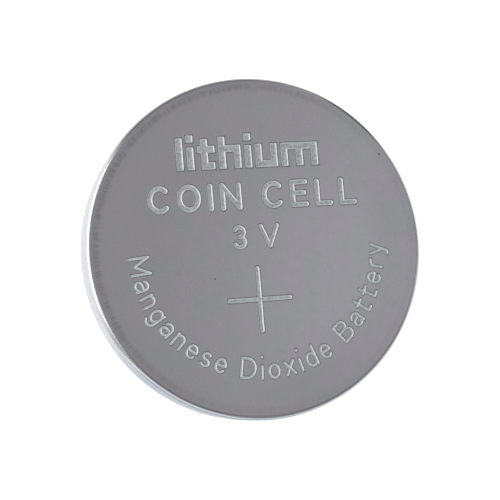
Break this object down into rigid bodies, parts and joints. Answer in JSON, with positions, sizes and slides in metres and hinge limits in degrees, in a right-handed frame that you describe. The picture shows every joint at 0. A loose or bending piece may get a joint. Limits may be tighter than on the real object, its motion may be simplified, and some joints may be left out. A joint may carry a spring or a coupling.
{
  "type": "lithium coin cell",
  "caption": "Round, flat sealed lithium cell: a stamped steel can is the positive pole and a stepped steel cap below it the negative pole.",
  "frame": {"origin": "centre of the flat negative contact face, on the surface that the cell lies on", "axes": "+Z out of the positive face, along the cell's axis; +X along the reading direction of the marks on the positive face"},
  "size_m": [0.02, 0.02, 0.0032],
  "materials": {
    "can_steel": "satin grey face, brighter wall",
    "cap_steel": "satin, lightly scuffed",
    "gasket_plastic": "natural, matt",
    "lithium": "soft rolled metal, dull",
    "separator_felt": "non-woven, matt",
    "cathode_oxide": "pressed powder, matt",
    "collector_steel": "thin rolled sheet"
  },
  "bodies": {
    "root": {"positive_can": "can_steel", "negative_cap": "cap_steel", "gasket": "gasket_plastic", "lithium_anode": "lithium", "separator": "separator_felt", "cathode_pellet": "cathode_oxide", "current_collector": "collector_steel"}
  },
  "joints": []
}
